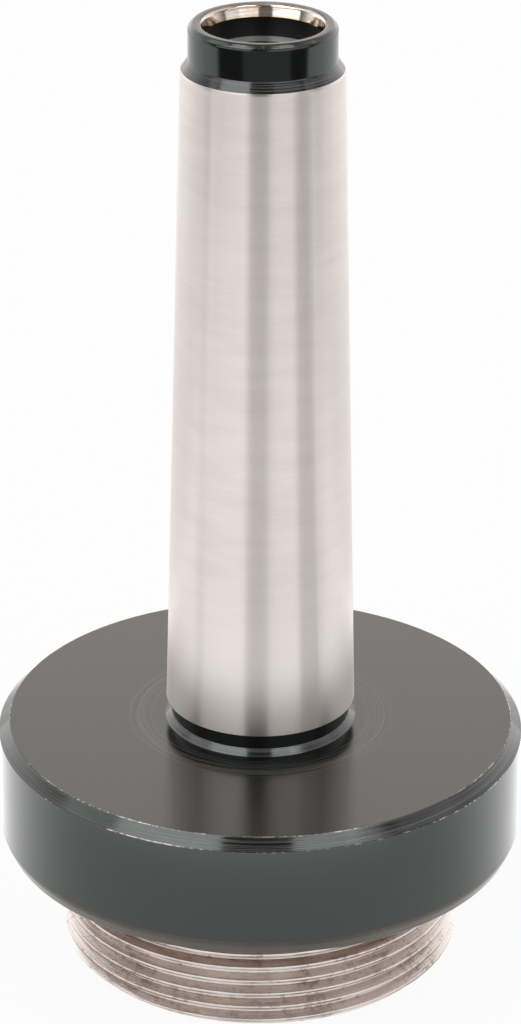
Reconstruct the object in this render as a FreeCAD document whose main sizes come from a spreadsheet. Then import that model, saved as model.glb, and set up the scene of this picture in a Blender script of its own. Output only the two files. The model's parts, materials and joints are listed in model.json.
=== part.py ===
import FreeCAD, Part
import os
import Sketcher

# Morse taper arbor, one turned and ground steel piece.
# The axis is Z. The origin is the centre of the end face of the threaded spigot, and the shank
# points up. Lengths are in millimetres.

dimensions = [
    ("thread_diameter", 38.1, "outside diameter of the spigot thread, 18 threads to 25.4 mm"),
    ("thread_pitch", 1.4111, "pitch of the spigot thread"),
    ("spigot_length", 11.6, "end face to the underside of the flange"),
    ("chamfer_below_root", 0.08, "how far the spigot's end chamfer goes below the thread's root"),
    ("relief_below_root", 0.18, "how far the run-out groove goes below the thread's root"),
    ("flange_diameter", 50.0, "outside diameter of the flange"),
    ("flange_thickness", 11.9, "thickness of the flange"),
    ("flange_chamfer", 1.05, "chamfer round the top of the flange"),
    ("flange_bevel_height", 1.1, "height of the steep bevel under the flange's rim"),
    ("flange_bevel_depth", 0.5, "radial depth of that bevel"),
    ("neck_length", 2.1, "flange top to the foot of the taper"),
    ("neck_undercut", 0.5, "radial step from the foot of the taper in to the neck"),
    ("neck_foot", 0.6, "45 degree cone where the neck meets the flange"),
    ("gauge_diameter", 17.78, "taper diameter at its gauge line"),
    ("gauge_height", 2.6, "foot of the taper to the gauge line"),
    ("gauge_to_end", 64.0, "gauge line to the end of the shank"),
    ("taper_ratio", 20.02, "length in which the taper's diameter changes by one"),
    ("collar_length", 3.3, "straight collar at the end of the shank"),
    ("collar_cone", 1.0, "cone from the ground taper in to the collar"),
    ("collar_wall", 1.5, "collar wall beside the counterbore"),
    ("rim_outer_round", 0.45, "radius on the outer edge of the collar's rim"),
    ("rim_inner_round", 0.62, "radius on the inner edge of that rim, where the mouth starts"),
    ("core_diameter", 8.5, "tapping size of the M10 drawbar thread"),
    ("core_length", 24.0, "straight length of the drawbar thread"),
    ("ledge_width", 0.95, "radial step from the counterbore in to the drawbar thread"),
    ("ledge_drop", 0.25, "height of the conical ledge at that step"),
    ("counterbore_depth", 2.9, "shank end to the ledge"),
    ("mouth_flare", 0.35, "radial widening at the mouth of the counterbore"),
    ("mouth_depth", 1.1, "depth of that widening"),
    ("drill_angle", 118.0, "angle of the drill points"),
    ("centre_diameter", 4.0, "pilot of the centre hole in the end face"),
    ("centre_depth", 7.4, "depth of that pilot"),
    ("centre_mouth", 8.5, "mouth diameter of the centre hole"),
    ("centre_angle", 60.0, "cone angle of the centre hole"),
]

# The spigot is turned to the crests of its thread. The 60 degree thread's depth, and the width of the
# groove in which the threading tool runs out, are shares of the pitch.
thread_depth_share = "0.6134"
relief_width_share = "1.5"

# Shares of the rim's width that its two rounded edges may take at most.
rim_outer_share = "0.4"
rim_inner_share = "0.55"

# Sizes that follow the thread.
thread_depth = f"(dims.thread_pitch * {thread_depth_share})"
spigot_chamfer = f"({thread_depth} + dims.chamfer_below_root)"
relief_depth = f"({thread_depth} + dims.relief_below_root)"

# Heights above the end face, from the bottom to the top.
relief_bottom = f"(dims.spigot_length - dims.thread_pitch * {relief_width_share})"
flange_bottom = "dims.spigot_length"
flange_top = "(dims.spigot_length + dims.flange_thickness)"
taper_foot = f"({flange_top} + dims.neck_length)"
gauge_line = f"({taper_foot} + dims.gauge_height)"
shank_end = f"({gauge_line} + dims.gauge_to_end)"
collar_foot = f"({shank_end} - dims.collar_length)"
taper_top = f"({collar_foot} - dims.collar_cone)"
mouth_foot = f"({shank_end} - dims.mouth_depth)"
ledge_top = f"({shank_end} - dims.counterbore_depth)"
ledge_foot = f"({ledge_top} - dims.ledge_drop)"
core_foot = f"({ledge_foot} - dims.core_length)"


def taper_radius(height):
    """Radius of the taper at a height, from its gauge line."""
    return f"(dims.gauge_diameter / 2 - ({height} - {gauge_line}) / (2 * dims.taper_ratio))"


# Radii.
thread_crest = "(dims.thread_diameter / 2)"
relief_radius = f"({thread_crest} - {relief_depth})"
flange_radius = "(dims.flange_diameter / 2)"
neck_radius = f"({taper_radius(taper_foot)} - dims.neck_undercut)"
core_radius = "(dims.core_diameter / 2)"
counterbore_radius = f"({core_radius} + dims.ledge_width)"
mouth_radius = f"({counterbore_radius} + dims.mouth_flare)"
rim_width = "(dims.collar_wall - dims.mouth_flare)"
collar_radius = f"({counterbore_radius} + dims.collar_wall)"


def make_sheet(doc):
    """Spreadsheet with one named cell for each driving dimension."""
    sheet = doc.addObject("Spreadsheet::Sheet", "dims")
    for row, (alias, value, meaning) in enumerate(dimensions, start=1):
        sheet.set(f"A{row}", alias)
        sheet.set(f"B{row}", str(value))
        sheet.set(f"C{row}", meaning)
        sheet.setAlias(f"B{row}", alias)
    doc.recompute()
    return sheet


def origin_plane(body, role):
    """One of the body's own origin planes."""
    return next(item for item in body.Origin.OriginFeatures if item.Role == role)


def new_sketch(body, name, role):
    """Sketch on an origin plane of the body."""
    sketch = body.newObject("Sketcher::SketchObject", name)
    sketch.AttachmentSupport = [(origin_plane(body, role), "")]
    sketch.MapMode = "FlatFace"
    return sketch


def closed_profile(body, name, corners):
    """Closed outline in the XZ plane whose corners sit at named radii and heights."""
    sketch = new_sketch(body, name, "XZ_Plane")
    count = len(corners)
    rough = [FreeCAD.Vector(1 + index % 2, index, 0) for index in range(count)]
    for index in range(count):
        sketch.addGeometry(Part.LineSegment(rough[index], rough[(index + 1) % count]), False)
    for index in range(count):
        sketch.addConstraint(Sketcher.Constraint("Coincident", index, 2, (index + 1) % count, 1))
    for index, (corner, radius, height) in enumerate(corners):
        for kind, suffix, expression in (("DistanceX", "radius", radius), ("DistanceY", "height", height)):
            label = f"{corner}_{suffix}"
            number = sketch.addConstraint(Sketcher.Constraint(kind, -1, 1, index, 1, 1.0))
            sketch.renameConstraint(number, label)
            sketch.setExpression(f"Constraints.{label}", expression)
    body.Document.recompute()
    return sketch


def revolve(body, kind, name, sketch):
    """Full turn of a profile about the part's axis, added or cut away."""
    feature = body.newObject(kind, name)
    feature.Profile = sketch
    feature.ReferenceAxis = (sketch, ["V_Axis"])
    feature.Angle = 360.0
    body.Document.recompute()
    return feature


def round_edge(body, radius, height):
    """The circular edge of the body that has this radius and height."""
    nearness = 1e-4
    for number, edge in enumerate(body.Shape.Edges, start=1):
        if edge.Curve.TypeId != "Part::GeomCircle":
            continue
        centre = edge.Curve.Center
        if abs(edge.Curve.Radius - radius) < nearness and abs(centre.z - height) < nearness:
            return f"Edge{number}"
    raise ValueError(f"no round edge of radius {radius} at height {height}")


def dress_edge(body, kind, name, radius, height, size_property, size):
    """Chamfer or fillet on one round edge."""
    base = body.Tip
    edge = round_edge(body, radius, height)
    feature = body.newObject(kind, name)
    feature.Base = (base, [edge])
    feature.setExpression(size_property, size)
    body.Document.recompute()
    return feature


def turn_outside(body):
    """Outside of the whole piece, turned from one bar."""
    corners = [
        ("end_centre", "0", "0"),
        ("end_face", thread_crest, "0"),
        ("flange_seat", thread_crest, flange_bottom),
        ("flange_under", f"{flange_radius} - dims.flange_bevel_depth", flange_bottom),
        ("flange_side", flange_radius, f"{flange_bottom} + dims.flange_bevel_height"),
        ("flange_over", flange_radius, flange_top),
        ("neck_cone", f"{neck_radius} + dims.neck_foot", flange_top),
        ("neck_start", neck_radius, f"{flange_top} + dims.neck_foot"),
        ("neck_end", neck_radius, taper_foot),
        ("taper_start", taper_radius(taper_foot), taper_foot),
        ("taper_end", taper_radius(taper_top), taper_top),
        ("collar_start", collar_radius, collar_foot),
        ("rim", collar_radius, shank_end),
        ("shank_centre", "0", shank_end),
    ]
    profile = closed_profile(body, "outside_profile", corners)
    return revolve(body, "PartDesign::Revolution", "turned_outside", profile)


def cut_relief(body):
    """Groove under the flange where the threading tool runs out."""
    outer = f"({thread_crest} + {relief_depth})"
    corners = [
        ("slope_outer", outer, f"({relief_bottom} - 2 * {relief_depth})"),
        ("slope_inner", relief_radius, relief_bottom),
        ("seat_inner", relief_radius, flange_bottom),
        ("seat_outer", outer, flange_bottom),
    ]
    profile = closed_profile(body, "relief_profile", corners)
    return revolve(body, "PartDesign::Groove", "thread_relief", profile)


def cut_drawbar_bore(body):
    """Mouth, counterbore and conical ledge at the shank's end, then the tapping bore."""
    corners = [
        ("mouth_centre", "0", shank_end),
        ("mouth_edge", mouth_radius, shank_end),
        ("counterbore_top", counterbore_radius, mouth_foot),
        ("ledge_outer", counterbore_radius, ledge_top),
        ("ledge_inner", core_radius, ledge_foot),
        ("core_end", core_radius, core_foot),
        ("drill_tip", "0", f"({core_foot} - {core_radius} / tan(dims.drill_angle / 2 * 1 deg))"),
    ]
    profile = closed_profile(body, "drawbar_profile", corners)
    return revolve(body, "PartDesign::Groove", "drawbar_bore", profile)


def cut_centre_hole(body):
    """Centre hole in the end face, which carried the piece for grinding."""
    sketch = new_sketch(body, "centre_position", "XY_Plane")
    sketch.addGeometry(Part.Circle(FreeCAD.Vector(0, 0, 0), FreeCAD.Vector(0, 0, 1), 1.0), False)
    sketch.addConstraint(Sketcher.Constraint("Coincident", 0, 3, -1, 1))
    number = sketch.addConstraint(Sketcher.Constraint("Diameter", 0, 1.0))
    sketch.renameConstraint(number, "pilot")
    sketch.setExpression("Constraints.pilot", "dims.centre_diameter")
    body.Document.recompute()
    hole = body.newObject("PartDesign::Hole", "centre_hole")
    hole.Profile = sketch
    body.Document.recompute()
    hole.Reversed = True
    hole.ThreadType = "None"
    hole.DepthType = "Dimension"
    hole.DrillPoint = "Angled"
    hole.HoleCutType = "Countersink"
    hole.HoleCutCustomValues = True
    hole.setExpression("Diameter", "dims.centre_diameter")
    hole.setExpression("Depth", "dims.centre_depth")
    hole.setExpression("DrillPointAngle", "dims.drill_angle")
    hole.setExpression("HoleCutDiameter", "dims.centre_mouth")
    hole.setExpression("HoleCutCountersinkAngle", "dims.centre_angle")
    body.Document.recompute()
    return hole


def make_arbor(doc, sheet):
    """The arbor: turned outside, dressed edges, run-out groove, drawbar bore and centre hole."""
    body = doc.addObject("PartDesign::Body", "arbor")
    body.Label = "arbor"
    turn_outside(body)
    thread_r = sheet.thread_diameter / 2
    flange_r = sheet.flange_diameter / 2
    flange_high = sheet.spigot_length + sheet.flange_thickness
    counterbore_r = sheet.core_diameter / 2 + sheet.ledge_width
    collar_r = counterbore_r + sheet.collar_wall
    mouth_r = counterbore_r + sheet.mouth_flare
    end = flange_high + sheet.neck_length + sheet.gauge_height + sheet.gauge_to_end
    outer = f"min(dims.rim_outer_round; {rim_outer_share} * {rim_width})"
    inner = f"min(dims.rim_inner_round; {rim_inner_share} * {rim_width})"
    dress_edge(body, "PartDesign::Chamfer", "end_chamfer", thread_r, 0, "Size", spigot_chamfer)
    dress_edge(body, "PartDesign::Chamfer", "top_chamfer", flange_r, flange_high, "Size", "dims.flange_chamfer")
    dress_edge(body, "PartDesign::Fillet", "rim_outside", collar_r, end, "Radius", outer)
    cut_relief(body)
    cut_drawbar_bore(body)
    dress_edge(body, "PartDesign::Fillet", "rim_inside", mouth_r, end, "Radius", inner)
    cut_centre_hole(body)
    return body


def check(doc, bodies):
    """Stop if any feature failed or any body isn't a valid solid."""
    for item in doc.Objects:
        if "Invalid" in item.State or "Error" in item.State:
            raise RuntimeError(f"{item.Name} failed: {item.State}")
    for body in bodies:
        if body.Shape.isNull() or not body.Shape.isValid():
            raise RuntimeError(f"{body.Label} isn't a valid shape")
        if len(body.Shape.Solids) != 1:
            raise RuntimeError(f"{body.Label} isn't one solid")


def main():
    doc = FreeCAD.newDocument("morse_taper_arbor")
    sheet = make_sheet(doc)
    arbor = make_arbor(doc, sheet)
    doc.recompute()
    check(doc, [arbor])
    os.makedirs("parts", exist_ok=True)
    arbor.Shape.exportStep(f"parts/{arbor.Label}.step")
    box = arbor.Shape.optimalBoundingBox(False)
    print(f"{arbor.Label}: volume {arbor.Shape.Volume:.1f} mm3, height {box.ZLength:.2f} mm")


main()
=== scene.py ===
import json
import math

import bmesh
import bpy
import numpy as np
from mathutils import Matrix, Vector


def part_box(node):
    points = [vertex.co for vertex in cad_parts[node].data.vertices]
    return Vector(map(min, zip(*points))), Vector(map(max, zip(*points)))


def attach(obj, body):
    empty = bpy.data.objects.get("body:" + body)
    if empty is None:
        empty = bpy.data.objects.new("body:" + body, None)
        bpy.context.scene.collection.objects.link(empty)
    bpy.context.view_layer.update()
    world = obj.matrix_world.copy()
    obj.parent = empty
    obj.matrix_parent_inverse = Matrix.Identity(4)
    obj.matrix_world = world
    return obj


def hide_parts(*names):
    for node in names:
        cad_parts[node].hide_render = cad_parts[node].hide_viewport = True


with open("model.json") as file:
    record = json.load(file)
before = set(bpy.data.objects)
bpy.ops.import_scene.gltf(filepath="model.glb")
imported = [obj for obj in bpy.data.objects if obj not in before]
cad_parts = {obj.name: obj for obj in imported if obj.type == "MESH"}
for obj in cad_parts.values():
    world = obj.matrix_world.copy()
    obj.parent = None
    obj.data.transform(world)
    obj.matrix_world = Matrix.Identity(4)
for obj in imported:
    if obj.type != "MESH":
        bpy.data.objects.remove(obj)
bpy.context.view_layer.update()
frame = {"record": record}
print("frame loaded")

# Lengths are in millimetres in the dictionaries and in metres in the meshes.
metre = 0.001
_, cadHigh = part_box("arbor")
mounts = {mount["name"]: mount for mount in frame["record"]["mounts"]}
shankEnd = cadHigh.z / metre
flangeRadius = cadHigh.x / metre
threadCrest = mounts["head_thread"]["dims"]["r_mm"]
coreRadius = mounts["drawbar_thread"]["dims"]["r_mm"]
coreLength = mounts["drawbar_thread"]["dims"]["length_mm"]
flangeUnder = mounts["register_face"]["pos_m"][2] / metre
gaugeLine = mounts["taper_shank"]["pos_m"][2] / metre

# Finishes, in the order of the piece's material slots.
finishNames = [
    "groundSteel", "flangeOxide", "coneOxide", "collarOxide", "bevelOxide", "mouthSteel", "boreOxide",
    "bareThread",
]


class Wire:
    # A shader socket that takes part in sums, so that maths reads as maths.
    def __init__(self, tree, socket=None):
        self.tree = tree
        self.socket = socket

    def node(self, kind, settings=None, values=None, output=0):
        # Adds a node: its settings first, then its sockets, each a value or a link.
        made = self.tree.nodes.new(kind)
        for name, value in (settings or {}).items():
            setattr(made, name, value)
        for name, value in (values or {}).items():
            if isinstance(value, Wire):
                self.tree.links.new(value.socket, made.inputs[name])
            else:
                made.inputs[name].default_value = value
        return Wire(self.tree, made.outputs[output] if made.outputs else None)

    def beside(self, name):
        # Another output of the same node.
        return Wire(self.tree, self.socket.node.outputs[name])

    def maths(self, operation, first, second=0.0):
        return self.node("ShaderNodeMath", {"operation": operation}, {0: first, 1: second})

    def __add__(self, other):
        return self.maths("ADD", self, other)

    def __radd__(self, other):
        return self.maths("ADD", other, self)

    def __sub__(self, other):
        return self.maths("SUBTRACT", self, other)

    def __rsub__(self, other):
        return self.maths("SUBTRACT", other, self)

    def __mul__(self, other):
        return self.maths("MULTIPLY", self, other)

    def __truediv__(self, other):
        return self.maths("DIVIDE", self, other)

    def __pow__(self, other):
        return self.maths("POWER", self, other)

    def __abs__(self):
        return self.maths("ABSOLUTE", self)


def smooth(value, low, high):
    # Rises from 0 at low to 1 at high, or falls where low is the larger.
    settings = {"interpolation_type": "SMOOTHSTEP"}
    if low < high:
        return value.node("ShaderNodeMapRange", settings, {"Value": value, "From Min": low, "From Max": high})
    return 1 - value.node("ShaderNodeMapRange", settings, {"Value": value, "From Min": high, "From Max": low})


def band(value, low, high, soft):
    # 1 between low and high, with edges twice as wide as soft.
    return smooth(value, low - soft, low + soft) * smooth(value, high + soft, high - soft)


def blendColour(amount, first, second):
    # Colour that goes from first to second as amount goes from 0 to 1.
    return amount.node("ShaderNodeMix", {"data_type": "RGBA"}, {"Factor": amount, 6: first, 7: second}, 2)


def rounded(corners):
    # Profile through (radius, height, edge radius, finish) corners. A corner becomes a tangent arc:
    # start + R sin(t) u + R (1 - cos(t)) w, where u is the way in, w its normal towards the way out
    # and t runs over the turn. A ring stands just before and after each arc, so that shading stays flat.
    points = np.array([corner[:2] for corner in corners], float)
    rows = [points[0]]
    finishes = []
    for index in range(1, len(corners) - 1):
        wayIn = points[index] - points[index - 1]
        wayOut = points[index + 1] - points[index]
        lengthIn, lengthOut = np.linalg.norm(wayIn), np.linalg.norm(wayOut)
        wayIn, wayOut = wayIn / lengthIn, wayOut / lengthOut
        turn = math.acos(np.clip(wayIn @ wayOut, -1, 1))
        across = wayOut - (wayOut @ wayIn) * wayIn
        across = across / np.linalg.norm(across)
        room = 0.45 * min(lengthIn, lengthOut)
        tangent = min(corners[index][2] * math.tan(turn / 2), room)
        radius = tangent / math.tan(turn / 2)
        steps = 3 + round(8 * radius)
        t = np.linspace(0, turn, steps + 1)[:, None]
        start = points[index] - tangent * wayIn
        arc = start + radius * (np.sin(t) * wayIn + (1 - np.cos(t)) * across)
        ring = min(0.05, 0.3 * room)
        before = start - ring * wayIn
        after = arc[-1] + ring * wayOut
        rows += [before, *arc, after]
        finishes += [corners[index][3]] * (steps + 2) + [corners[index + 1][3]]
    rows.append(points[-1])
    finishes.append(corners[-1][3])
    return np.array(rows), finishes


def turned(profile, columns):
    # Revolves a profile about Z: (r cos a, r sin a, z) on a grid of rows by columns + 1.
    angle = np.linspace(0, 2 * math.pi, columns + 1)
    radius, height = profile[:, :1], profile[:, 1:]
    return np.stack([radius * np.cos(angle), radius * np.sin(angle), height + 0 * angle], axis=-1)


def threadSection(pitch, depth, crestFlat, rootFlat, edge, flankRows):
    # One pitch of a 60 degree thread, from root middle to root middle, as (rise above the root, way along).
    half = pitch / 2
    corners = [
        (0, -half, 0, ""),
        (0, -half + rootFlat / 2, edge, ""),
        (depth, -crestFlat / 2, edge, ""),
        (depth, crestFlat / 2, edge, ""),
        (0, half - rootFlat / 2, edge, ""),
        (0, half, 0, ""),
    ]
    points, _ = rounded(corners)
    gaps = np.linalg.norm(np.diff(points, axis=0), axis=1)
    pieces = [points[:1]]
    for first, last, gap in zip(points[:-1], points[1:], gaps):
        count = flankRows if gap > depth / 2 else 1
        share = np.linspace(0, 1, count + 1)[1:, None]
        pieces.append(first + (last - first) * share)
    return np.concatenate(pieces)[:-1]


def outsideThread(size, top, columns):
    # Right-hand thread: z = start + way + pitch a / 2 pi, r = the lower of the thread's section and the
    # turned outline, which is a chamfer at the end and the slope of the run-out groove under the flange.
    section = threadSection(size["pitch"], size["depth"], size["crestFlat"], size["rootFlat"], size["edge"],
                            size["flankRows"])
    turns = math.ceil(top / size["pitch"]) + 2
    first = -size["leadIn"] - 1.5 * size["pitch"]
    way = (first + size["pitch"] * np.arange(turns)[:, None] + section[:, 1]).ravel()
    rise = np.tile(section[:, 0], turns)
    angle = np.linspace(0, 2 * math.pi, columns + 1)
    height = np.clip(way[:, None] + size["pitch"] * angle / (2 * math.pi), 0, top)
    threadRoot = threadCrest - size["depth"]
    chamfered = threadRoot - size["chamferBelowRoot"] + height
    sloped = threadRoot - size["reliefBelowRoot"] + top - height
    outline = np.minimum(chamfered, sloped)
    radius = np.minimum(threadRoot + rise[:, None], outline)
    return np.stack([radius * np.cos(angle), radius * np.sin(angle), height], axis=-1)


def drawbarThread(size, top, columns):
    # Right-hand internal thread: r = the wider of the thread's section and the conical ledge above it.
    # The section fades into the plain core over its first and last turns.
    section = threadSection(size["pitch"], size["depth"], size["rootFlat"], size["crestFlat"], size["edge"],
                            size["flankRows"])
    turns = size["turns"] + 2
    way = (size["pitch"] * np.arange(turns)[:, None] + section[:, 1]).ravel()
    groove = np.tile(section[:, 0], turns)
    angle = np.linspace(0, 2 * math.pi, columns + 1)
    low = top - size["turns"] * size["pitch"]
    height = top + size["pitch"] / 2 - way[:, None] + size["pitch"] * angle / (2 * math.pi)
    height = np.clip(height, low, top)
    fade = np.clip((height - low) / size["pitch"], 0, 1)
    fade = fade * np.clip(top - size["ledgeDrop"] - height, 0, 1)
    ledge = coreRadius + (height - top + size["ledgeDrop"]) * size["ledgeWidth"] / size["ledgeDrop"]
    radius = np.maximum(coreRadius + groove[:, None] * fade, ledge)
    return np.stack([radius * np.cos(angle), radius * np.sin(angle), height], axis=-1)


def meshFromGrids(name, grids):
    # Joins grids of points, each with one finish for each strip of faces, into one closed mesh.
    places, corners, finishes = [], [], []
    offset = 0
    for grid, strips in grids:
        rows, columns = grid.shape[:2]
        number = offset + np.arange(rows * columns).reshape(rows, columns)
        quads = np.stack([number[:-1, :-1], number[:-1, 1:], number[1:, 1:], number[1:, :-1]], axis=-1)
        places.append(grid.reshape(-1, 3))
        corners.append(quads.reshape(-1, 4))
        finishes.append(np.repeat([finishNames.index(strip) for strip in strips], columns - 1))
        offset += rows * columns
    places, corners, finishes = np.concatenate(places), np.concatenate(corners), np.concatenate(finishes)
    mesh = bpy.data.meshes.new(name)
    mesh.vertices.add(len(places))
    mesh.vertices.foreach_set("co", (places * metre).astype(np.float32).ravel())
    mesh.loops.add(corners.size)
    mesh.loops.foreach_set("vertex_index", corners.astype(np.int32).ravel())
    mesh.polygons.add(len(corners))
    mesh.polygons.foreach_set("loop_start", np.arange(0, corners.size, 4, dtype=np.int32))
    mesh.polygons.foreach_set("material_index", finishes.astype(np.int32))
    mesh.polygons.foreach_set("use_smooth", np.ones(len(corners), bool))
    mesh.update()
    mesh.validate()
    work = bmesh.new()
    work.from_mesh(mesh)
    bmesh.ops.remove_doubles(work, verts=work.verts, dist=3e-7)
    work.to_mesh(mesh)
    work.free()
    mesh.update()
    return mesh


arborShape = {
    "columns": 180,
    "centreTip": 8.6,
    "centrePilot": 2.0,
    "centreDepth": 7.4,
    "centreMouth": 4.25,
    "centreCone": 3.9,
    "flangeBevel": (0.5, 1.1),
    "flangeTop": 23.5,
    "flangeChamfer": 1.05,
    "neckFoot": 0.6,
    "neckUndercut": 0.5,
    "taperFoot": 25.6,
    "taperRatio": 20.02,
    "gaugeRadius": 8.89,
    "collarCone": 1.0,
    "collarLength": 3.3,
    "collarWall": 1.5,
    "rimBreak": 0.4,
    "rimRound": 0.62,
    "mouthFlare": 0.35,
    "mouthDepth": 1.1,
    "counterboreDepth": 2.9,
    "drillTip": 2.55,
}

spigotThread = {
    "pitch": 1.4111,
    "depth": 0.7587,
    "crestFlat": 0.30,
    "rootFlat": 0.235,
    "edge": 0.04,
    "flankRows": 5,
    "leadIn": 0.87,
    "chamferBelowRoot": 0.187,
    "reliefBelowRoot": 0.287,
    "reliefWidth": 1.5,
}

innerThread = {
    "pitch": 1.5,
    "depth": 0.76,
    "crestFlat": 0.3,
    "rootFlat": 0.19,
    "edge": 0.03,
    "flankRows": 3,
    "turns": 6,
    "ledgeWidth": 0.95,
    "ledgeDrop": 0.25,
}


def makeArbor(shape, outer, inner):
    # The piece's profile goes up the outside from the centre hole and down into the drawbar bore.
    columns = shape["columns"]
    taperRadius = lambda z: shape["gaugeRadius"] - (z - gaugeLine) / (2 * shape["taperRatio"])
    taperFootRadius = taperRadius(shape["taperFoot"])
    taperTop = shankEnd - shape["collarLength"] - shape["collarCone"]
    neckRadius = taperFootRadius - shape["neckUndercut"]
    counterbore = coreRadius + inner["ledgeWidth"]
    collarRadius = counterbore + shape["collarWall"]
    ledgeTop = shankEnd - shape["counterboreDepth"]
    chamferFoot = shape["flangeTop"] - shape["flangeChamfer"]
    bevelDepth, bevelHeight = shape["flangeBevel"]
    threadRoot = threadCrest - outer["depth"]
    reliefRadius = threadRoot - outer["reliefBelowRoot"]
    reliefFoot = flangeUnder - outer["reliefWidth"] * outer["pitch"]

    below = [
        (0, shape["centreTip"], 0, "bareThread"),
        (shape["centrePilot"], shape["centreDepth"], 0.05, "bareThread"),
        (shape["centrePilot"], shape["centreCone"], 0.05, "bareThread"),
        (shape["centreMouth"], 0, 0.04, "bareThread"),
        (threadRoot - outer["chamferBelowRoot"], 0, 0, "bareThread"),
    ]
    outside = [
        (reliefRadius, reliefFoot, 0, "bareThread"),
        (reliefRadius, flangeUnder, 0.2, "bareThread"),
        (flangeRadius - bevelDepth, flangeUnder, 0.08, "bareThread"),
        (flangeRadius, flangeUnder + bevelHeight, 1.5, "bevelOxide"),
        (flangeRadius, chamferFoot, 0.07, "flangeOxide"),
        (flangeRadius - shape["flangeChamfer"], shape["flangeTop"], 0.07, "coneOxide"),
        (neckRadius + shape["neckFoot"], shape["flangeTop"], 0.05, "flangeOxide"),
        (neckRadius, shape["flangeTop"] + shape["neckFoot"], 0.05, "coneOxide"),
        (neckRadius, shape["taperFoot"], 0.1, "flangeOxide"),
        (taperFootRadius, shape["taperFoot"], 0.06, "flangeOxide"),
        (taperRadius(taperTop), taperTop, 0.5, "groundSteel"),
        (collarRadius, shankEnd - shape["collarLength"], 0.1, "coneOxide"),
        (collarRadius, shankEnd - shape["rimBreak"], 0.45, "collarOxide"),
        (collarRadius - shape["rimBreak"], shankEnd, 0.3, "collarOxide"),
        (counterbore + shape["mouthFlare"], shankEnd, shape["rimRound"], "mouthSteel"),
        (counterbore, shankEnd - shape["mouthDepth"], 0.06, "mouthSteel"),
        (counterbore, ledgeTop, 0, "boreOxide"),
    ]
    coreTop = ledgeTop - inner["turns"] * inner["pitch"]
    coreFoot = ledgeTop - inner["ledgeDrop"] - coreLength
    core = [
        (coreRadius, coreTop, 0, "boreOxide"),
        (coreRadius, coreFoot, 0.05, "boreOxide"),
        (0, coreFoot - shape["drillTip"], 0, "boreOxide"),
    ]
    grids = []
    for corners in (below, outside, core):
        profile, strips = rounded(corners)
        grids.append((turned(profile, columns), strips))
    threads = (
        (outsideThread(outer, reliefFoot, columns), "bareThread"),
        (drawbarThread(inner, ledgeTop, columns), "boreOxide"),
    )
    for grid, finish in threads:
        grids.append((grid, [finish] * (len(grid) - 1)))
    arbor = bpy.data.objects.new("turnedArbor", meshFromGrids("turnedArbor", grids))
    bpy.context.collection.objects.link(arbor)
    return arbor


def newMaterial(name):
    # An empty material with its output, and the wire that new nodes start from.
    material = bpy.data.materials.new(name)
    material.use_nodes = True
    material.node_tree.nodes.clear()
    return material, Wire(material.node_tree)


def turnedPlace(start):
    # Radius and height in millimetres, the direction (x, y) from the axis, which has no seam, and the place.
    place = start.node("ShaderNodeTexCoord", output="Object")
    split = start.node("ShaderNodeSeparateXYZ", None, {0: place}, "X")
    x, y, height = split * 1000, split.beside("Y") * 1000, split.beside("Z") * 1000
    radius = (x * x + y * y) ** 0.5
    return {"place": place, "x": x / radius, "y": y / radius, "radius": radius, "height": height}


def rings(at, fine, wander, detail, seed=0.0):
    # Tool marks: noise that changes fast across the piece's radius and height and slowly round it.
    start = at["radius"]
    vector = start.node("ShaderNodeCombineXYZ", None,
                        {"X": at["x"] * wander + seed, "Y": at["y"] * wander, "Z": at["height"] * fine})
    return start.node("ShaderNodeTexNoise", {"noise_dimensions": "4D"},
                      {"Vector": vector, "W": at["radius"] * fine + seed, "Scale": 1.0, "Detail": detail,
                       "Roughness": 0.6})


def specks(at, size, detail, seed):
    # Spots of about that size in millimetres, from 0 to 1.
    start = at["radius"]
    return start.node("ShaderNodeTexNoise", {"noise_dimensions": "4D"},
                      {"Vector": at["place"], "W": seed, "Scale": 1000 / size, "Detail": detail,
                       "Roughness": 0.6})


def threadTurn(at):
    # The way across one thread as an angle: 2 pi z / pitch - a, which is the same all along the helix.
    around = at["radius"].maths("ARCTAN2", at["y"], at["x"])
    return at["height"] * (2 * math.pi / spigotThread["pitch"]) - around


def threadBand(at, offset, halfWidth):
    # 1 on a helical band whose middle lies offset pitches above a crest: cos(turn - middle) > cos(halfWidth).
    crest = -spigotThread["leadIn"] / spigotThread["pitch"] - 0.5
    across = at["radius"].maths("COSINE", threadTurn(at) - (crest + offset) * 2 * math.pi)
    edge = math.cos(2 * math.pi * halfWidth)
    return smooth(across, edge - 0.08, edge + 0.08)


def threadMarks(at, across, along, rise):
    # Tool marks along the spigot thread: noise on the circle (cos turn, sin turn), which closes at the seam.
    start, turn = at["radius"], threadTurn(at)
    vector = start.node("ShaderNodeCombineXYZ", None,
                        {"X": start.maths("COSINE", turn) * across + at["height"] * rise,
                         "Y": start.maths("SINE", turn) * across, "Z": at["x"] * along})
    return start.node("ShaderNodeTexNoise", {"noise_dimensions": "4D"},
                      {"Vector": vector, "W": at["y"] * along + at["radius"] * across, "Scale": 1.0,
                       "Detail": 3.0, "Roughness": 0.7})


def edgeBand(at, radius, height, width):
    # 1 on the turned edge at that radius and height, and 0 beyond width from it.
    away = ((at["radius"] - radius) ** 2 + (at["height"] - height) ** 2) ** 0.5
    return smooth(away, width, width * 0.35)


def surface(material, start, colour, metal, roughness, bump, fixed):
    # Principled surface: what varies goes to four sockets, and fixed holds what is the same all over.
    values = {"Base Color": colour, "Metallic": metal, "Roughness": roughness, "Normal": bump}
    values.update(fixed)
    shader = start.node("ShaderNodeBsdfPrincipled", None, values)
    start.node("ShaderNodeOutputMaterial", None, {"Surface": shader})
    return material


def relief(start, height, microns):
    # Bump whose full height is that many thousandths of a millimetre.
    return start.node("ShaderNodeBump", None, {"Strength": 1.0, "Distance": microns * 1e-6, "Height": height})


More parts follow.
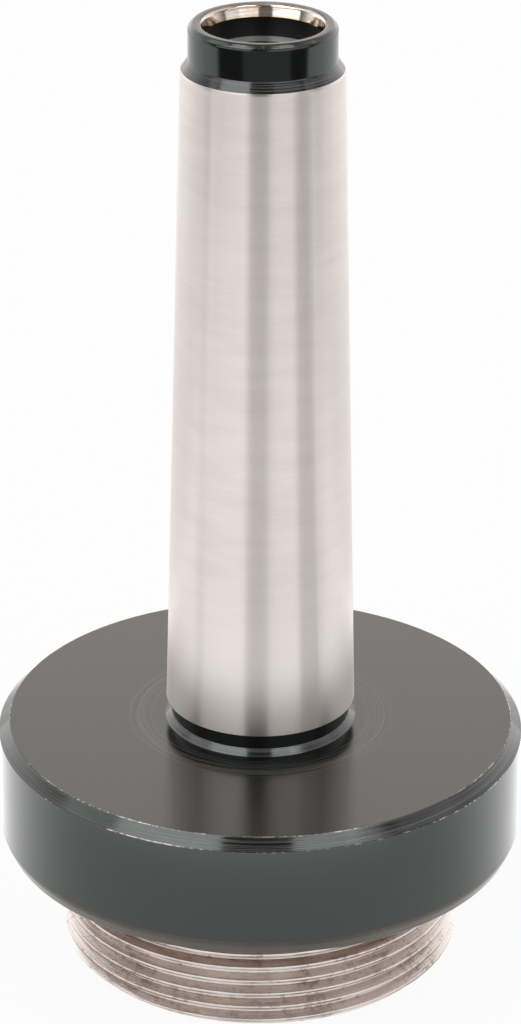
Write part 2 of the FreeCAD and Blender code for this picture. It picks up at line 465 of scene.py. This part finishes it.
groundSettings = {
    "colour": (0.70, 0.64, 0.61, 1),
    "shade": (0.655, 0.595, 0.57, 1),
    "roughness": 0.34,
    "foot": (44.0, 28.0),
    "footColour": (0.80, 0.735, 0.70, 1),
    "footRoughness": 0.29,
    "roughnessLines": 0.03,
    "lineDepth": 0.5,
    "anisotropy": 1.0,
}


def groundSteel(settings):
    # Cylindrically ground steel: fine lines round the taper spread each reflection along its length. The
    # foot is a little finer, and its colour is a little brighter as painted light.
    material, start = newMaterial("groundSteel")
    at = turnedPlace(start)
    fine = rings(at, 9.0, 2.0, 3.0)
    broad = rings(at, 0.7, 1.2, 1.0, 4.0)
    colour = blendColour(smooth(broad * 0.5 + fine * 0.5, 0.35, 0.65), settings["colour"], settings["shade"])
    foot = smooth(at["height"], *settings["foot"])
    # Painted light: the foot's colour is brightened in place of the reflected light that the flange keeps
    # from the taper's foot.
    colour = blendColour(foot, colour, settings["footColour"])
    finer = settings["footRoughness"] - settings["roughness"]
    roughness = settings["roughness"] + foot * finer + (fine - 0.5) * settings["roughnessLines"]
    bump = relief(start, fine, settings["lineDepth"])
    return surface(material, start, colour, 1.0, roughness, bump,
                   {"Anisotropic": settings["anisotropy"], "Anisotropic Rotation": 0.25})


oxideSettings = {
    "colour": (0.0042, 0.0047, 0.0046, 1),
    "bare": (0.55, 0.52, 0.49, 1),
    "ior": 1.68,
    "tint": (0.94, 1.0, 0.975, 1),
    "roughness": 0.18,
    "edges": (),
    "edgeWear": 0.9,
    "edgeWidth": 0.085,
    "wearAll": 0.0,
    "lineWear": 0.0,
    "lineDepth": 0.0,
    "lineZone": (0.0, 99.0, 1.0),
    "markLines": 6.0,
    "markDepth": 2.0,
}

flangeEdges = (
    (flangeRadius - arborShape["flangeChamfer"], arborShape["flangeTop"]),
    (flangeRadius, arborShape["flangeTop"] - arborShape["flangeChamfer"]),
)
rimEdge = (6.62, shankEnd - 0.12)

# Where a finish differs from oxideSettings. Edges are worn bright at (radius, height), lineZone is the band
# of radii with turned lines and its softness, and depths are in thousandths of a millimetre.
oxideFinishes = {
    "flangeOxide": {"edges": flangeEdges, "markDepth": 1.6, "lineWear": 0.10, "lineDepth": 0.5,
                    "lineZone": (10.0, 12.8, 0.5)},
    "coneOxide": {"edges": flangeEdges, "roughness": 0.08, "lineWear": 0.11, "lineDepth": 2.0},
    "collarOxide": {"edges": (rimEdge,), "edgeWidth": 0.3, "edgeWear": 0.3, "roughness": 0.12,
                    "markLines": 4.0, "markDepth": 3.0},
    "bevelOxide": {"colour": (0.012, 0.009, 0.007, 1), "bare": (0.62, 0.48, 0.36, 1), "ior": 1.52,
                   "roughness": 0.25, "wearAll": 0.18},
}


def oxide(name, settings):
    # Black oxide on turned steel: a dark, glossy skin over tool marks, rubbed bright along edges and turned
    # lines.
    material, start = newMaterial(name)
    at = turnedPlace(start)
    marks = rings(at, settings["markLines"], 2.5, 3.0, 7.0)
    patches = specks(at, 7.0, 3.0, 2.0)
    chips = specks(at, 0.35, 2.0, 5.0)
    lines = smooth(rings(at, 9.0, 0.7, 2.0, 11.0), 0.51, 0.58) * band(at["radius"], *settings["lineZone"])
    wear = patches * settings["wearAll"] + lines * settings["lineWear"]
    rubbed = smooth(chips * 0.4 + patches * 0.6, 0.47, 0.60) * settings["edgeWear"]
    for radius, height in settings["edges"]:
        wear = wear + edgeBand(at, radius, height, settings["edgeWidth"]) * rubbed
    wear = start.node("ShaderNodeClamp", None, {"Value": wear})
    colour = blendColour(wear, settings["colour"], settings["bare"])
    roughness = settings["roughness"] + (marks - 0.5) * 0.10 + (patches - 0.5) * 0.06 + wear * 0.15
    bump = relief(start, (marks - wear * 0.5) * settings["markDepth"] + lines * settings["lineDepth"], 1.0)
    return surface(material, start, colour, wear, roughness, bump,
                   {"IOR": settings["ior"], "Specular Tint": settings["tint"]})


threadSettings = {
    "colour": (0.76, 0.695, 0.66, 1),
    "brown": (0.22, 0.155, 0.12, 1),
    "roughness": 0.28,
    "oiledFrom": (6.3, 7.0),
    "markLines": {"across": 2.0, "along": 3.0, "rise": 0.7},
    "markDepth": 30.0,
    "flankFrom": 0.12,
    "crestLine": (-0.05, 0.05),
    "underBand": (-0.27, 0.19),
}


def bareThread(settings):
    # Turned bare steel with tool marks along the thread and brown films of old oil and light rust, and
    # painted
    # shade: a brown line down each crest's middle and brown on the lower flanks. crestLine and
    # underBand are bands along the thread: middle and half width in pitches, from a crest upwards.
    material, start = newMaterial("bareThread")
    at = turnedPlace(start)
    marks = threadMarks(at, **settings["markLines"])
    drift = specks(at, 5.0, 2.0, 3.0)
    spots = specks(at, 0.6, 3.0, 8.0)
    film = smooth(marks * 0.8 + drift * 0.3, 0.52, 0.64) * 0.15
    stain = smooth(spots * 0.6 + drift * 0.3 + marks * 0.25, 0.60, 0.70) * 0.45
    flank = 1 - threadBand(at, 0.0, settings["flankFrom"])
    # Painted shade: a brown line down the crest's middle, so that the crest shows as two highlight lines at
    # its edges.
    crest = threadBand(at, *settings["crestLine"]) * (0.4 + smooth(drift + marks * 0.3, 0.5, 0.75) * 0.6)
    # The flanks turn browner from oiledFrom upwards, towards the flange.
    upper = smooth(at["height"], *settings["oiledFrom"]) * flank
    # Painted shade: brown on the lower flank under each crest, with some random variation.
    underShade = threadBand(at, *settings["underBand"]) * (0.3 + drift * 0.5)
    # Brown from the films and stains, plus the painted shade of the crest line and the lower flanks.
    brown = film + stain + underShade + crest + upper * (0.05 + marks * 0.5)
    brown = start.node("ShaderNodeClamp", None, {"Value": brown})
    colour = blendColour(brown, settings["colour"], settings["brown"])
    roughness = settings["roughness"] + (marks - 0.5) * 0.25 + stain * 0.2
    bump = relief(start, marks, settings["markDepth"])
    return surface(material, start, colour, 1 - stain * 0.4, roughness, bump, {})


mouthSettings = {
    "colour": (0.80, 0.735, 0.67, 1),
    "temper": (0.46, 0.32, 0.24, 1),
    "straw": (0.70, 0.50, 0.26, 1),
    "roughness": 0.08,
    "bareRadius": (5.46, 5.58),
    "bareTilt": 0.24,
    "strawFrom": 0.85,
    "endsMiddle": 0.17,
    "ends": (0.66, 0.95),
    "markDepth": 2.5,
}


def mouthSteel(settings):
    # The coned mouth is bare, with straw colour low down and brown streaks, and more brown on its left and
    # right ends. The oxide starts again on the rim, further out at the back than in front.
    material, start = newMaterial("mouthSteel")
    at = turnedPlace(start)
    marks = rings(at, 5.0, 3.0, 3.0, 2.0)
    drift = specks(at, 2.2, 3.0, 6.0)
    low = smooth(at["height"], shankEnd - settings["strawFrom"], shankEnd - arborShape["mouthDepth"])
    # More brown on the left and right ends, across x.
    ends = smooth(abs(at["x"] - settings["endsMiddle"]), *settings["ends"])
    tint = smooth(drift * 0.6 + marks * 0.5, 0.49, 0.63) * 0.6 + ends * 0.45
    tint = start.node("ShaderNodeClamp", None, {"Value": tint})
    reach = at["radius"] - at["y"] * settings["bareTilt"] + (drift - 0.5) * 0.2
    coated = smooth(reach, *settings["bareRadius"])
    edge = blendColour(low * 0.6, settings["colour"], settings["straw"])
    steel = blendColour(tint, edge, settings["temper"])
    colour = blendColour(coated, steel, oxideSettings["colour"])
    roughness = settings["roughness"] + (marks - 0.5) * 0.2 + coated * 0.22
    bump = relief(start, marks, settings["markDepth"])
    return surface(material, start, colour, 1 - coated, roughness, bump, {"IOR": oxideSettings["ior"]})


boreSettings = {
    "colour": (0.0042, 0.0047, 0.0046, 1),
    "ledge": (0.34, 0.35, 0.34, 1),
    "ior": 1.3,
    "roughness": 0.5,
    "anisotropy": 0.9,
    "bareFrom": (0.05, 0.2),
    "markDepth": 6.0,
}


def boreOxide(settings):
    # Dull black in the counterbore and the thread, with a turned ledge between them that is nearly bare.
    material, start = newMaterial("boreOxide")
    at = turnedPlace(start)
    marks = rings(at, 5.0, 3.0, 3.0, 3.0)
    ledgeTop = shankEnd - arborShape["counterboreDepth"]
    onLedge = band(at["height"], ledgeTop - innerThread["ledgeDrop"], ledgeTop, 0.01)
    bareFrom, bareFull = settings["bareFrom"]
    bare = onLedge * smooth(at["radius"], coreRadius + bareFrom, coreRadius + bareFull) * (0.6 + marks * 0.6)
    bare = bare + smooth(marks, 0.64, 0.72) * 0.12
    colour = blendColour(bare, settings["colour"], settings["ledge"])
    roughness = settings["roughness"] + (marks - 0.5) * 0.2
    bump = relief(start, marks, settings["markDepth"])
    fixed = {"IOR": settings["ior"], "Anisotropic": settings["anisotropy"], "Anisotropic Rotation": 0.25}
    return surface(material, start, colour, bare, roughness, bump, fixed)


def dressArbor(arbor):
    # One material for each finish, in the order of finishNames.
    materials = {name: oxide(name, {**oxideSettings, **special}) for name, special in oxideFinishes.items()}
    materials["groundSteel"] = groundSteel(groundSettings)
    materials["mouthSteel"] = mouthSteel(mouthSettings)
    materials["boreOxide"] = boreOxide(boreSettings)
    materials["bareThread"] = bareThread(threadSettings)
    for name in finishNames:
        arbor.data.materials.append(materials[name])


arbor = makeArbor(arborShape, spigotThread, innerThread)
dressArbor(arbor)
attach(arbor, "root")
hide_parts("arbor")
print("arbor:", sum(len(face.vertices) - 2 for face in arbor.data.polygons), "triangles")

floorSettings = {
    "half": 3000,
    "pale": 0.80,
    "cameraShare": 0.93,
    "tableFront": -90,
    "tableSoft": 15,
    "beyond": 0.28,
    "beyondAzimuth": (-30, 42),
    "beyondSoft": 3,
    "gap": 0.05,
    "front": 1.05,
    "rearFar": 0.1,
    "rearNear": 1.0,
    "nearEnd": (70, 220),
    "rear": (60, 150),
    "ring": (66, 190),
    "ringSoft": 7,
    "ringLevel": 1.82,
    "ringNear": 0.45,
    "ringNearAzimuth": (75, 60),
    "ringNearAway": (115, 85),
    "ringSide": 0.3,
    "ringSideAzimuth": (80, 158),
    "ringSideSoft": 8,
    "ringRear": 0.9,
    "ringRearAzimuth": (75, 120),
    "ringGapSoft": 2,
    "ringGap": {"azimuth": (-16, 8), "level": 0.12},
    "ringDip": {"azimuth": (47, 72), "level": 0.7},
}


def azimuthAndRise(start, x, y, z):
    # Degrees to the right of the front, and degrees above the horizon, of a direction.
    azimuth = start.maths("ARCTAN2", x, y * -1) * (180 / math.pi)
    rise = start.maths("ARCSINE", z) * (180 / math.pi)
    return azimuth, rise


def makeFloor(settings):
    # Pale table. A camera ray sees it near white, and still with the piece's shadow. A glossy ray sees a
    # bright ring on it round the piece, the table's end in front, and the dim room beyond that.
    half = settings["half"] * metre
    mesh = bpy.data.meshes.new("floor")
    corners = [(-half, -half, 0), (half, -half, 0), (half, half, 0), (-half, half, 0)]
    mesh.from_pydata(corners, [], [(0, 1, 2, 3)])
    floor = bpy.data.objects.new("floor", mesh)
    bpy.context.collection.objects.link(floor)
    material, start = newMaterial("floorPale")
    place = start.node("ShaderNodeTexCoord", output="Object")
    split = start.node("ShaderNodeSeparateXYZ", None, {0: place}, "X")
    x, y = split * 1000, split.beside("Y") * 1000
    azimuth, _ = azimuthAndRise(start, x, y, 0.0)
    tableFront, tableSoft = settings["tableFront"], settings["tableSoft"]
    table = smooth(y, tableFront - tableSoft, tableFront + tableSoft)
    beyond = band(azimuth, *settings["beyondAzimuth"], settings["beyondSoft"])
    room = settings["gap"] + beyond * (settings["beyond"] - settings["gap"])
    away = (x * x + y * y) ** 0.5
    near = smooth(away, settings["nearEnd"][1], settings["nearEnd"][0])
    rear = smooth(abs(azimuth), *settings["rear"]) * (near * settings["rearNear"] + settings["rearFar"])
    seen = room + table * (settings["front"] + rear - room)
    turn = abs(azimuth)
    around = settings["ringLevel"] - smooth(turn, *settings["ringRearAzimuth"]) * settings["ringRear"]
    side = band(turn, *settings["ringSideAzimuth"], settings["ringSideSoft"])
    closer = smooth(turn, *settings["ringNearAzimuth"]) * settings["ringNear"] + side * settings["ringSide"]
    around = around + smooth(away, *settings["ringNearAway"]) * closer
    for name in ("ringGap", "ringDip"):
        gap = band(azimuth, *settings[name]["azimuth"], settings["ringGapSoft"])
        around = around - gap * settings[name]["level"]
    seen = seen + band(away, *settings["ring"], settings["ringSoft"]) * (around - seen)
    camera = start.node("ShaderNodeLightPath", output="Is Camera Ray")
    glossy = start.node("ShaderNodeLightPath", output="Is Glossy Ray")
    matt = start.node("ShaderNodeBsdfDiffuse", None, {"Color": (settings["pale"],) * 3 + (1,)})
    glow = start.node("ShaderNodeEmission", None, {"Strength": camera + glossy * seen})
    share = camera * settings["cameraShare"] + glossy
    both = start.node("ShaderNodeMixShader", None, {0: share, 1: matt, 2: glow})
    start.node("ShaderNodeOutputMaterial", None, {"Surface": both})
    mesh.materials.append(material)
    return floor


studio = {
    "sideLow": 1.95,
    "sideHigh": 0.5,
    "sideRise": 52,
    "sideAzimuth": (72, 122),
    "front": 0.13,
    "overhead": 0.5,
    "overheadRise": (58, 76),
    "behind": {"azimuth": (150, 210), "rise": (18, 45), "level": 0.35},
    "behindSoft": 10,
    "leftBox": {"azimuth": (-77, -23), "rise": (40, 69), "level": 3.0},
    "rightBox": {"azimuth": (20, 72), "rise": (53, 69), "level": 2.6},
    "rightEdge": {"azimuth": (50, 76), "rise": (49, 62), "level": 1.0},
    "rightSoft": {"azimuth": (22, 66), "rise": (41, 53), "level": 0.4},
    "leftMiddle": {"azimuth": (-75, -16), "rise": (28, 38), "level": 0.8},
    "rightMiddle": {"azimuth": (6, 75), "rise": (28, 40), "level": 1.1},
    "leftLow": {"azimuth": (-74, -18), "rise": (-10, 21), "level": 1.35},
    "middleLow": {"azimuth": (-18, 9), "rise": (-10, 21), "level": 0.08},
    "rightLow": {"azimuth": (9, 47), "rise": (-10, 21), "level": 1.2},
    "rightDip": {"azimuth": (47, 76), "rise": (-10, 21), "level": 0.8},
    "leftHigh": {"azimuth": (-112, -77), "rise": (34, 58), "level": 1.2},
    "rightHigh": {"azimuth": (74, 112), "rise": (34, 58), "level": 0.6},
    "boxes": ("leftBox", "rightBox", "rightEdge", "rightSoft", "leftMiddle", "rightMiddle", "leftLow",
              "middleLow", "rightLow", "rightDip", "leftHigh", "rightHigh"),
    "soft": 2,
    "backColour": (1.0, 0.93, 0.885, 1),
    "backAzimuth": (135, 165),
}


def lightBox(azimuth, rise, box, soft):
    # A soft box seen between two azimuths and two rises.
    return band(azimuth, *box["azimuth"], soft) * band(rise, *box["rise"], soft) * box["level"]


def makeStudio(settings):
    # The room as a pattern of directions: the sides and the back are bright low down and dimmer higher up,
    # the front is dim, with soft boxes on both sides, and the back is warmer. Camera rays see plain white.
    world = bpy.data.worlds.new("studio")
    bpy.context.scene.world = world
    world.use_nodes = True
    world.node_tree.nodes.clear()
    start = Wire(world.node_tree)
    way = start.node("ShaderNodeTexCoord", output="Generated")
    split = start.node("ShaderNodeSeparateXYZ", None, {0: way}, "X")
    azimuth, rise = azimuthAndRise(start, split, split.beside("Y"), split.beside("Z"))
    higher = start.node("ShaderNodeClamp", None, {"Value": rise / settings["sideRise"]})
    sides = settings["sideLow"] + higher * (settings["sideHigh"] - settings["sideLow"])
    turn = abs(azimuth)
    walls = settings["front"] + smooth(turn, *settings["sideAzimuth"]) * (sides - settings["front"])
    level = walls + smooth(rise, *settings["overheadRise"]) * (settings["overhead"] - walls)
    for name in settings["boxes"]:
        level = level + lightBox(azimuth, rise, settings[name], settings["soft"])
    around = azimuth + smooth(azimuth, 0, -1) * 360
    level = level + lightBox(around, rise, settings["behind"], settings["behindSoft"])
    camera = start.node("ShaderNodeLightPath", output="Is Camera Ray")
    strength = level + camera * (1 - level)
    back = smooth(turn, *settings["backAzimuth"]) * (1 - camera)
    colour = blendColour(back, (1, 1, 1, 1), settings["backColour"])
    shader = start.node("ShaderNodeBackground", None, {"Color": colour, "Strength": strength})
    start.node("ShaderNodeOutputWorld", None, {"Surface": shader})


makeFloor(floorSettings)
makeStudio(studio)
print("studio ready")

cameraSettings = {
    "distance": 354.5,
    "rise": 24.95,
    "aim": (-0.06, 0.0, 44.62),
    "roll": 0.228,
    "focalPixels": 3795,
    "imageHeight": 1024,
    "sensor": 36,
}


def makeCamera(settings):
    # Looks along +Y from the front and from above; the focal length in pixels gives the lens.
    rise, roll = math.radians(settings["rise"]), math.radians(settings["roll"])
    forward = Vector((0, math.cos(rise), -math.sin(rise)))
    right = Vector((math.cos(roll), 0, 0)) + math.sin(roll) * Vector((1, 0, 0)).cross(forward)
    up = right.cross(forward)
    place = Vector(settings["aim"]) - settings["distance"] * forward
    camera = bpy.data.objects.new("camera", bpy.data.cameras.new("camera"))
    camera.data.sensor_width = settings["sensor"]
    camera.data.lens = settings["focalPixels"] * settings["sensor"] / settings["imageHeight"]
    camera.data.clip_start = 0.01
    camera.data.clip_end = 20
    turn = Matrix((right, up, -forward)).transposed().to_4x4()
    camera.matrix_world = Matrix.Translation(place * metre) @ turn
    bpy.context.collection.objects.link(camera)
    bpy.context.scene.camera = camera


makeCamera(cameraSettings)
bpy.context.scene.view_settings.view_transform = "Standard"
